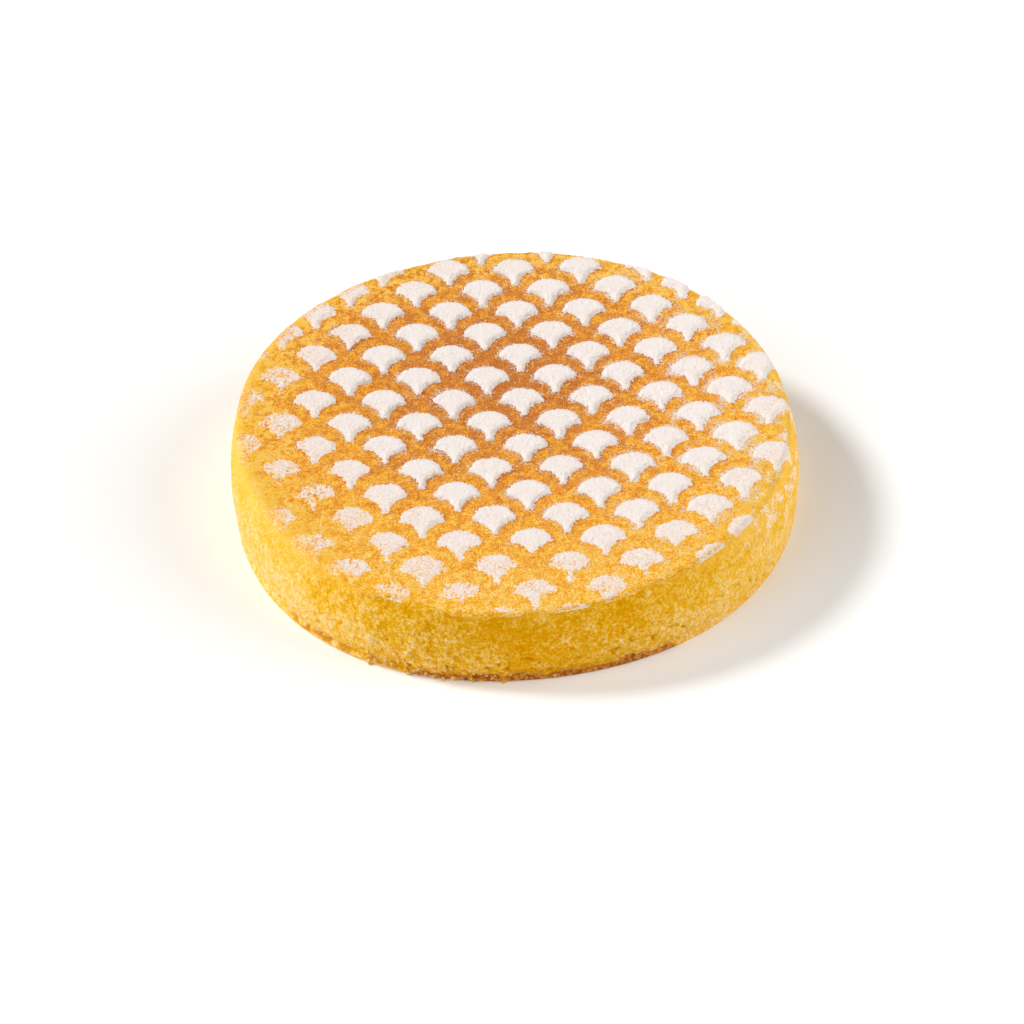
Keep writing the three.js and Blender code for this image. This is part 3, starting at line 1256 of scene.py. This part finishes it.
@dataclass(frozen=True)
class SugarFans:
    """The raised fans of sugar, in a few pieces from the front to the back."""

    form: CakeForm
    rows: FanRows
    parts: tuple[str, ...] = ("front", "middle", "back")
    step: float = 0.36
    block: float = 1.0
    disc_sides: int = 72
    rim_sides: int = 240
    spare: float = 1.2  # how far the mesh reaches past the stencil's edge
    skin: float = 0.35
    buried: float = 0.3
    thick: float = 1.0
    thin: float = 0.2
    upper: float = 0.1  # how far below the block's upper face is still that face
    spill: float = 1.2  # how far the sugar slid out past the stencil's edge
    slope: float = 2.2  # how far in from that edge a fan reaches its full depth
    patches: tuple[Lumps, ...] = (Lumps(0.3, 18.0), Lumps(0.3, 6.0))
    thinnest: float = 1.3
    wobble: tuple[Lumps, ...] = (Lumps(0.7, 1.0, 40), Lumps(0.4, 3.5, 80))
    past_shoulder: float = 2.8  # how far out the sugar ends
    mesh_past_shoulder: float = 3.3  # and how far out its mesh ends
    smallest_reach: float = 5.1  # a fan whose arc centre lies this far outside the rim is left out
    worn: Span = (20.0, 80.0)  # how far left the sugar's end at the rim is worn
    ragged: Lumps = Lumps(1.0, 2.2, 20)
    raggedness: Span = (0.6, 1.4)  # how ragged that end is, and how ragged where it is worn
    end_width: Span = (1.7, 2.3)  # and how far in it starts to thin, in both places
    end_inset: float = 0.5
    scuffs: Lumps = Lumps(1.5, 3.0, 60)
    scuffed: Span = (-6.0, -1.0)
    scuffed_off: float = 0.3
    bare_when_thin: float = 0.31
    cover_edge: Span = (-1.4, 0.0)
    # painted shade on each thick fan's lower right slope, which faces away from the key lamp
    painted_shade_shift: tuple[float, float] = (0.6, -0.7)
    painted_shade_edge: Span = (-1.0, 0.5)
    painted_shade_left: Span = (10.0, 70.0)
    painted_shade_when_thin: float = 1.6
    rough_edge: float = 0.25
    layers: tuple[Relief, ...] = (
        Relief(Grain.SOFT, 2.6, 0.4, 1, 0.5),
        Relief(Grain.CELLS, 1.3, -0.3, 0, 0.4),
        Relief(Grain.SOFT, 0.8, 0.4, 0, 0.5),
    )

    def build(self, material: Material) -> None:
        """Makes the pieces and dresses them."""
        template = self._one_fan()
        reach = self.form.rim_radius + self.smallest_reach
        centres = np.array(sorted(self.rows.centres(reach), key=lambda spot: spot[1]))
        for name, spots in zip(self.parts, np.array_split(centres, len(self.parts))):
            piece = self._joined(template, spots, "sugar_fans_" + name)
            combine(piece, self._rim_cutter(), "INTERSECT", "MANIFOLD")
            self._lay(piece)
            roughen(piece, self.layers, "face")
            finish_piece(piece, material)
        bpy.data.objects.remove(template)

    @staticmethod
    def _joined(template: Piece, spots: Array, name: str) -> Piece:
        """Copies one fan to each spot and joins the copies in one piece."""
        outline = places(template)
        copies = []
        for x, y in spots:
            copies.append(put_in_scene("fan", template.data.copy()))
            move_to(copies[-1], outline + np.array([x, y, 0]))
        make_active(copies[0])
        for copy in copies:
            copy.select_set(True)
        bpy.ops.object.join()
        return added(name)

    def _one_fan(self) -> Piece:
        """Models one fan: a disc drawn out into a stem, with a bite out of each lower side."""
        rows = self.rows
        fan = add_drum("fan", self.disc_sides, rows.radius + self.spare, 2 * self.block)
        round_one = places(fan)
        longer = (self.spare - rows.stem_end) / (self.spare + rows.radius)
        round_one[:, 1] *= np.where(round_one[:, 1] < 0, longer, 1)
        move_to(fan, round_one)
        for side in (-1, 1):
            middle = (side * rows.bite_x, rows.bite_y, 0)
            radius = rows.bite_radius - self.spare
            bite = add_drum("bite", self.disc_sides, radius, 4 * self.block, middle)
            combine(fan, bite, "DIFFERENCE", "EXACT")
        even_faces(fan, self.step)
        keep_above_zero(fan)
        return fan

    def _rim_cutter(self) -> Piece:
        """Adds the disc that the fans are cut by, where the rim ends them."""
        radius = self.form.inner_radius + self.mesh_past_shoulder
        cutter = add_drum("rim", self.rim_sides, radius, 6 * self.block)
        points = places(cutter)
        points[:, :2] *= self.form.stretch(polar(points)[0])[:, None]
        move_to(cutter, points)
        return cutter

    def _lay(self, piece: Piece) -> None:
        """Lays the fans on the top, thinner away from the heap and gone past the rim."""
        flat = places(piece)
        x, y = flat[:, 0], flat[:, 1]
        below = self.block - flat[:, 2]
        spot = flat * np.array([1, 1, 0])
        patches = sum(lumps.at(spot) for lumps in self.patches)
        thinning = np.clip(self.rows.thinning(x, y) + patches, 0, self.thinnest)
        full = self.thin + (self.thick - self.thin) * np.clip(1 - thinning, 0, 1)
        inside = self.rows.inside(x, y)
        wobble = sum(lumps.at(spot) for lumps in self.wobble)
        share = smooth_step(-self.spill, self.slope, inside + wobble)
        angle, reach = polar(flat)
        radius = reach / self.form.stretch(angle)
        edge = self.form.inner_radius + self.past_shoulder
        worn = smooth_step(*self.worn, -x)
        raggedness, width = (
            start + (end - start) * worn for start, end in (self.raggedness, self.end_width)
        )
        ragged = radius + raggedness * self.ragged.at(spot)
        share *= 1 - smooth_step(edge - width, edge - self.end_inset, ragged)
        depth = share * (full + self.buried) - self.buried
        upper = below < self.upper
        lift = self.skin + np.where(upper, depth, np.minimum(depth, 0) - below)
        move_to(piece, self.form.lay(flat, lift))
        weigh(piece, "face", upper * np.clip(self.rough_edge + share, 0, 1))
        cover = (1 - self.bare_when_thin * thinning) * smooth_step(*self.cover_edge, inside)
        scuffed = smooth_step(*self.scuffed, radius - edge + self.scuffs.at(spot))
        mark(piece, "cover", cover * (1 - self.scuffed_off * worn * scuffed))
        # painted shade: marks each thick fan's lower right slope, for the sugar's finish to tint
        # grey
        in_painted_shade = self.rows.inside(x + self.painted_shade_shift[0], y + self.painted_shade_shift[1])
        shaded = 1 - smooth_step(*self.painted_shade_edge, in_painted_shade)
        leftwards = 1 - smooth_step(*self.painted_shade_left, x)
        painted_lee_shade = shaded * leftwards * (1 - self.painted_shade_when_thin * thinning)
        mark(piece, "painted_lee_shade", np.clip(painted_lee_shade, 0, 1))


class Landing:
    """The finished surface of a piece, which small grains are dropped on."""

    def __init__(self, piece: Piece) -> None:
        """Reads the surface once."""
        faces = [tuple(face.vertices) for face in piece.data.polygons]
        self.tree = BVHTree.FromPolygons(places(piece).tolist(), faces)

    def hits(self, starts: Array, ways: Array) -> Array:
        """Returns where a line from each start, along its way, first meets the surface."""
        found = []
        for start, way in zip(starts.tolist(), ways.tolist()):
            spot = self.tree.ray_cast(Vector(start), Vector(way))[0]
            if spot is not None:
                found.append(tuple(spot))
        return np.array(found)


@dataclass(frozen=True)
class FallenSugar:
    """Where loose grains of sugar lie: beside the fans, and most right of the middle."""

    thrown: int = 26000  # not all of them stay
    seed: int = 11
    middle_x: float = 40.0
    middle_y: float = 20.0
    reach: Span = (20.0, 120.0)
    near_fan: Span = (-2.4, 0.0)
    anywhere: float = 0.1
    patches: Lumps = Lumps(0.8, 16.0)
    off_fan: float = 0.4  # how far inside a fan's edge a grain still shows

    def spots(self, form: CakeForm, rows: FanRows, top: Piece) -> Array:
        """Returns the places of the grains, one row each.

        Args:
            form: the cake's form.
            rows: the rows of fans.
            top: the skin that the grains lie on.
        """
        dice = np.random.default_rng(self.seed)
        out = form.inner_radius * np.sqrt(dice.random(self.thrown))
        turn = dice.uniform(-math.pi, math.pi, self.thrown)
        x, y = out * np.cos(turn), out * np.sin(turn)
        inside = rows.inside(x, y)
        away = np.hypot(x - self.middle_x, y - self.middle_y)
        windfall = 1 - smooth_step(*self.reach, away)
        chance = smooth_step(*self.near_fan, inside) * windfall + self.anywhere * windfall
        chance *= 1 + self.patches.at(np.stack([x, y, 0 * x], axis=-1))
        stays = (dice.random(self.thrown) < chance) & (inside < self.off_fan)
        starts = np.stack([x, y, np.full(self.thrown, 2 * form.height)], axis=-1)[stays]
        downwards = np.tile([0.0, 0.0, -1.0], (len(starts), 1))
        return Landing(top).hits(starts, downwards)


@dataclass(frozen=True)
class ClingingCrumbs:
    """Where loose crumbs cling: low on the side, by the foot, in front."""

    count: int = 90
    seed: int = 23
    turn_deg: float = -107
    spread_deg: float = 11
    ends_deg: Span = (-121, -70)
    lowest: float = 0.6
    highest: float = 0.25  # how much higher than that the highest is, as a share of the cake's

    def spots(self, form: CakeForm, sides: Piece) -> Array:
        """Returns the places of the crumbs, one row each.

        Args:
            form: the cake's form.
            sides: the side that they cling to.
        """
        dice = np.random.default_rng(self.seed)
        turn_deg = np.clip(dice.normal(self.turn_deg, self.spread_deg, self.count), *self.ends_deg)
        turn = np.radians(turn_deg)
        out = np.stack([np.cos(turn), np.sin(turn), 0 * turn], axis=-1)
        starts = out * 2 * form.base_radius
        starts[:, 2] = self.lowest + self.highest * form.height * dice.random(self.count) ** 2
        return Landing(sides).hits(starts, -out)


@dataclass(frozen=True)
class Scatter:
    """Many small grains of one kind, joined in one piece."""

    name: str
    smallest: float
    largest: float
    seed: int
    roundness: int = 1  # how often the faces of each grain are split
    lumpiness: Span = (0.65, 1.25)  # how far in or out each corner of a grain lies
    squash: Span = (0.7, 1.2)  # how long a grain is along each axis
    lowest: float = 0.02
    relief: float = 0.6

    def build(self, spots: Array, material: Material, slot: str) -> None:
        """Makes a grain at each spot.

        Args:
            spots: the places, one row each, in millimetres.
            material: the grains' finish.
            slot: not used.
        """
        deselect_all()
        bpy.ops.mesh.primitive_ico_sphere_add(subdivisions=self.roundness, radius=MM)
        grain = added("grain")
        shape = places(grain)
        faces = np.array([tuple(face.vertices) for face in grain.data.polygons])
        bpy.data.objects.remove(grain)
        dice = np.random.default_rng(self.seed)
        spread = dice.random((len(spots), 1, 1)) ** 2
        sizes = (self.smallest + (self.largest - self.smallest) * spread) / 2
        lumpy = dice.uniform(*self.lumpiness, (len(spots), len(shape), 1))
        squash = dice.uniform(*self.squash, (len(spots), 1, 3))
        points = shape[None] * sizes * lumpy * squash + spots[:, None]
        points[:, :, 2] = np.maximum(points[:, :, 2], self.lowest)
        offsets = np.arange(len(spots))[:, None, None] * len(shape)
        all_faces = (faces[None] + offsets).reshape(-1, 3)
        mesh = bpy.data.meshes.new(self.name)
        mesh.from_pydata((points.reshape(-1, 3) * MM).tolist(), [], all_faces.tolist())
        piece = put_in_scene(self.name, mesh)
        for name, value in (("cover", 1.0), ("painted_lee_shade", 0.0), ("relief", self.relief)):
            mark(piece, name, np.full(len(mesh.vertices), value))
        finish_piece(piece, material)


# --- Camera and studio ---


def pointing(turn_deg: float, elevation_deg: float) -> Vector:
    """Returns the arrow of length 1 that points this way: turned from +X, then raised."""
    turn, elevation = math.radians(turn_deg), math.radians(elevation_deg)
    flat = math.cos(elevation)
    return Vector((math.cos(turn) * flat, math.sin(turn) * flat, math.sin(elevation)))


@dataclass(frozen=True)
class PhotoCamera:
    """The camera, where the even rows of fans put it."""

    lens_mm: float = 109.5
    sensor_mm: float = 36.0
    elevation_deg: float = 40.889
    azimuth_deg: float = -1.759
    roll_deg: float = -0.671
    target_x: float = -1.91
    target_y: float = -13.51
    distance: float = 1202.4

    def build(self) -> None:
        """Adds the camera and makes it the scene's."""
        data = bpy.data.cameras.new("photo_camera")
        data.lens = self.lens_mm
        data.sensor_width = self.sensor_mm
        data.dof.use_dof = False
        camera = put_in_scene("photo_camera", data)
        azimuth = math.radians(self.azimuth_deg)
        back = pointing(self.azimuth_deg - 90, self.elevation_deg)
        right = Vector((math.cos(azimuth), math.sin(azimuth), 0))
        above = back.cross(right)
        roll = math.radians(self.roll_deg)
        tilted_right = right * math.cos(roll) + above * math.sin(roll)
        tilted_above = above * math.cos(roll) - right * math.sin(roll)
        turn = Matrix((tilted_right, tilted_above, back)).transposed().to_4x4()
        target = Vector((self.target_x, self.target_y, 0)) * MM
        camera.matrix_world = Matrix.Translation(target + back * self.distance * MM) @ turn
        bpy.context.scene.camera = camera


@dataclass(frozen=True)
class SoftLight:
    """Soft light from one side, as from a large lamp far away."""

    name: str
    turn_deg: float
    elevation_deg: float
    strength: float
    softness_deg: float

    def build(self) -> None:
        """Adds the lamp, turned towards the cake."""
        data = bpy.data.lights.new(self.name, "SUN")
        data.energy = self.strength
        data.angle = math.radians(self.softness_deg)
        lamp = put_in_scene(self.name, data)
        lamp.location = towards_lamp = pointing(self.turn_deg, self.elevation_deg)
        lamp.rotation_euler = (-towards_lamp).to_track_quat("-Z", "Y").to_euler()


@dataclass(frozen=True)
class Studio:
    """The pale floor, the lamps and the light of the room."""

    floor_size_m: float = 12.0
    room_light: float = 0.13
    lamps: tuple[SoftLight, ...] = (
        SoftLight("key", 158, 42, 2.2, 14),
        SoftLight("left_front", 212, 30, 1.3, 50),
        SoftLight("right", -3, 25, 2.08, 50),
    )

    def build(self) -> None:
        """Adds everything around the cake."""
        deselect_all()
        bpy.ops.mesh.primitive_plane_add(size=self.floor_size_m)
        floor = added("floor")
        floor.data.materials.append(FloorFinish().make())
        for lamp in self.lamps:
            lamp.build()
        self._room()
        scene = bpy.context.scene
        scene.view_settings.view_transform = "Standard"
        scene.view_settings.look = "None"

    def _room(self) -> None:
        """Makes the room: it lights dimly, and looks white where it is seen."""
        world = bpy.data.worlds.new("room")
        world.use_nodes = True
        shader = Shader(world.node_tree)
        background = world.node_tree.nodes["Background"]
        shader.feed(background.inputs["Color"], (1.0, 1.0, 1.0, 1.0))
        seen = shader.out("LightPath", {}, "Is Camera Ray")
        shader.feed(background.inputs["Strength"], shader.math("MAXIMUM", seen, self.room_light))
        bpy.context.scene.world = world


def write_sizes() -> None:
    """Defines a helper that returns a box as plain lists, and writes nothing."""
    def plain(box: object) -> list[list[float]]:
        """Returns a box as plain lists."""
        return [[float(value) for value in corner] for corner in box]


def main() -> None:
    """Builds the scene."""
    logging.basicConfig(level=logging.INFO, format="%(name)s %(message)s")
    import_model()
    PhotoCamera().build()
    Studio().build()
    form, rows = CakeForm(), FanRows()
    skin, dust = SkinLook().make_group(), DustGrain().make_group()
    look = CrumbLook().make_group(CrumbGrain().make_group(), dust)
    sugar = SugarFinish().make(skin)
    sides = SpongeSides(form).build(CrumbFinish("open_crumb", FootLook()).make(look))
    top = BrownedTop(form).build(CrustFinish().make(skin, look, rows.make_group(), dust))
    SugarFans(form, rows).build(sugar)
    grains = FallenSugar().spots(form, rows, top)
    Scatter("sugar_grains", 0.22, 0.75, 5).build(grains, sugar, "sugar")
    crumbs, loose = ClingingCrumbs().spots(form, sides), CrumbFinish("loose_crumb").make(look)
    Scatter("loose_crumbs", 0.7, 2.4, 7, 2).build(crumbs, loose, "sponge")
    write_sizes()


if __name__ == "__main__":
    main()
